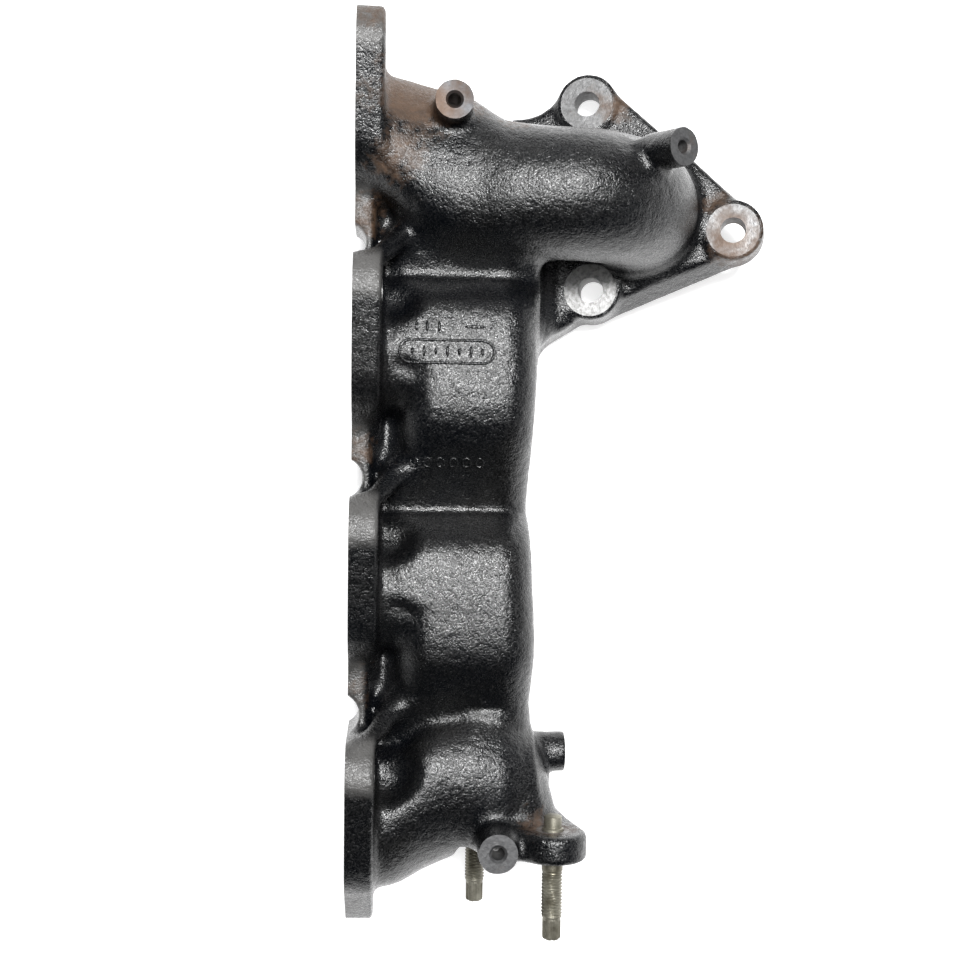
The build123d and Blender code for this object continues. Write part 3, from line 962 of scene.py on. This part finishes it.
# Where rust gathers: place, reach, amount.
RUST = [
    ((20, 150, 12), 22, 1.0), ((30, 138, 24), 12, 0.9), ((16, 122, 20), 16, 0.6), ((44, 146, 10), 12, 0.7),
    ((60, 141, 10), 14, 0.5), ((108, 159, -38), 9, 0.8), ((158, 100, -26), 15, 0.9), ((150, 115, -28), 9, 0.6),
    ((78, -131, 20), 13, 0.8), ((6, 100, 6), 14, 0.6), ((5, 10, 5), 12, 0.5), ((5, -80, 5), 12, 0.4),
    ((70, -50, 2), 20, 0.30), ((60, 125, 20), 20, 0.2), ((8, 168, 26), 16, 0.6),
]
co = np.zeros(len(casting.data.vertices) * 3)
casting.data.vertices.foreach_get("co", co)
co = co.reshape(-1, 3) / MM
rust = np.zeros(len(co))
for at, reach, amount in RUST:
    near = np.exp(-np.sum((co - np.array(at)) ** 2, axis=1) / reach**2)
    rust = np.maximum(rust, amount * near)
paint("rust", np.clip(rust + 0.12 * value_noise(co, 9, 11), 0, 1))

# How clean the machined faces are, on each boss and round each turbo hole.
bare = np.full(len(co), 0.7)
for boss, amount in zip(BOSSES, (0.04, 0.16, 0.16, 0.16)):
    bare[np.sum((co - np.array(boss[0])) ** 2, axis=1) < 14.0**2] = amount
for (u, v), amount in zip(TURBO_HOLES, (0.28, 0.30, 0.66)):
    at = turbo_point(u, v) - TURBO_OUT * TURBO_BOSS_T
    bare[np.sum((co - at) ** 2, axis=1) < 16.0**2] = amount
paint("bare", bare)

# Painted highlight, partly wear: grey on the flanges' upper lobes and on a step below each port, where light
# falls on them.
wear_and_highlight = np.zeros(len(co))
for port_y in PORT_Y:
    dy = co[:, 1] - port_y
    lobe = np.clip((dy - 19) / 5, 0, 1) * np.clip((42 - dy) / 4, 0, 1) * np.clip((co[:, 2] - 14) / 6, 0, 1)
    wear_and_highlight = np.maximum(wear_and_highlight, lobe * np.clip((FLANGE_T + 0.5 - co[:, 0]) / 1.5, 0, 1))
    step = np.clip((-dy - 22) / 4, 0, 1) * np.clip((50 + dy) / 4, 0, 1) * np.clip((co[:, 2] + 8) / 6, 0, 1)
    wear_and_highlight = np.maximum(wear_and_highlight, 0.7 * step * np.clip((7 - co[:, 0]) / 2, 0, 1))
paint("wear_and_highlight", np.clip(wear_and_highlight * (0.85 + 0.3 * value_noise(co, 5, 21)), 0, 1))


# ------------------------------------------------------------ the studs
PITCH = 1.25
THREAD_DEPTH = 0.68
THREAD_START = -15.3
THREAD_END = -32.5
FLUTES = 6
FLUTE_DEPTH = 0.62
AROUND = 48


def thread_depth(y, turn):
    """How far a thread lies below its crests, with a run-in and a run-out."""
    phase = ((y - THREAD_START) / PITCH + turn) % 1.0
    groove = min(1.0, max(0.0, abs(phase - 0.5) * 2 * 1.35 - 0.12))
    fade = max(min(1.0, (THREAD_START - y) / 1.5, (y - THREAD_END) / 1.2), 0.0)
    return THREAD_DEPTH * groove * fade + 0.25 * (1 - fade)


def stud_mesh(name, x, z):
    """Top nub, plain shank, rolled thread and fluted tip, as one turned skin along -Y."""
    steps = int((THREAD_START - THREAD_END) / 0.14)
    # Rings of the skin: y from the flange's back, radius, kind.
    rows = [(5.5, 0.0, ""), (5.5, 2.6, ""), (5.0, 3.3, ""), (0.9, 3.4, "")]
    rows += [(0.6, STUD_R, ""), (-15.0, STUD_R, "")]
    for k in range(steps + 1):
        rows.append((THREAD_START + (THREAD_END - THREAD_START) * k / steps, 3.98, "thread"))
    rows += [(-32.8, 3.45, ""), (-33.6, 3.45, "")]
    rows += [(-34.0 - 0.5 * k, 3.5, "flute") for k in range(13)]
    rows += [(-40.6, 3.3, "flute"), (-41.0, 2.7, "flute"), (-41.0, 0.0, "")]
    verts, faces = [], []
    for y, r, kind in rows:
        for k in range(AROUND):
            a = 2 * pi * k / AROUND
            radius = r
            if kind == "thread":
                radius -= thread_depth(y, k / AROUND)
            if kind == "flute":
                radius -= FLUTE_DEPTH * max(0.0, cos(FLUTES * a)) ** 1.5
            verts.append(((x + radius * sin(a)) * MM, (EGR_Y + y) * MM, (z + radius * cos(a)) * MM))
    for row in range(len(rows) - 1):
        for k in range(AROUND):
            a, b = row * AROUND + k, row * AROUND + (k + 1) % AROUND
            faces.append((a, a + AROUND, b + AROUND, b))
    obj = new_object(name, verts, faces, ZINC)
    face_outwards(obj.data, 1e-6)
    obj.data.set_sharp_from_angle(angle=radians(38))
    return obj


for node, (x, z) in STUDS.items():
    stud = stud_mesh(node + "_threaded", x, z)
    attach(stud, "root")
    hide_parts(node)

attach(casting, "root")
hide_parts("manifold_casting")

# ------------------------------------------------------------ stage, light and camera
floor_z = cad_box[0][2] - 0.0005
corners = [(x, y, floor_z) for x, y in ((-3, -3), (3, -3), (3, 3), (-3, 3))]
floor = new_object("floor", corners, [(0, 1, 2, 3)], pale_floor(), False)


def softbox(name, at, size, power):
    """A rectangular light that faces the middle of the casting."""
    light = bpy.data.lights.new(name, "AREA")
    light.shape = "RECTANGLE"
    light.size, light.size_y = size
    light.energy = power
    obj = bpy.data.objects.new(name, light)
    bpy.context.scene.collection.objects.link(obj)
    obj.location = at
    obj.rotation_euler = (Vector((0.08, 0.0, -0.01)) - Vector(at)).to_track_quat("-Z", "Y").to_euler()


softbox("overhead", (0.14, 0.00, 1.6), (0.70, 1.20), 8)
softbox("key", (0.12, 0.40, 1.50), (0.46, 0.34), 46)
softbox("far_rim", (0.05, 1.35, 0.75), (1.6, 0.20), 3)
softbox("right_low", (1.5, 0.0, 0.28), (1.8, 0.25), 2.5)

world = bpy.data.worlds.new("studio")
world.use_nodes = True
background = world.node_tree.nodes["Background"]
background.inputs["Color"].default_value = (0.9, 0.93, 1.0, 1)
background.inputs["Strength"].default_value = 0.012
bpy.context.scene.world = world

camera = bpy.data.objects.new("camera", bpy.data.cameras.new("camera"))
bpy.context.scene.collection.objects.link(camera)
lean, roll = radians(4.0), radians(0.88)
right, up = Vector((cos(lean), 0, sin(lean))), Vector((0, 1, 0))
back = Vector((-sin(lean), 0, cos(lean)))
right, up = right * cos(roll) + up * sin(roll), up * cos(roll) - right * sin(roll)
turn = Matrix((right, up, back)).transposed().to_4x4()
camera.matrix_world = Matrix.Translation((0.0137, 0.0, 0.5197)) @ turn
camera.data.lens = 50
camera.data.sensor_width = 36
camera.data.clip_start = 0.01
bpy.context.scene.camera = camera
bpy.context.scene.view_settings.view_transform = "Standard"
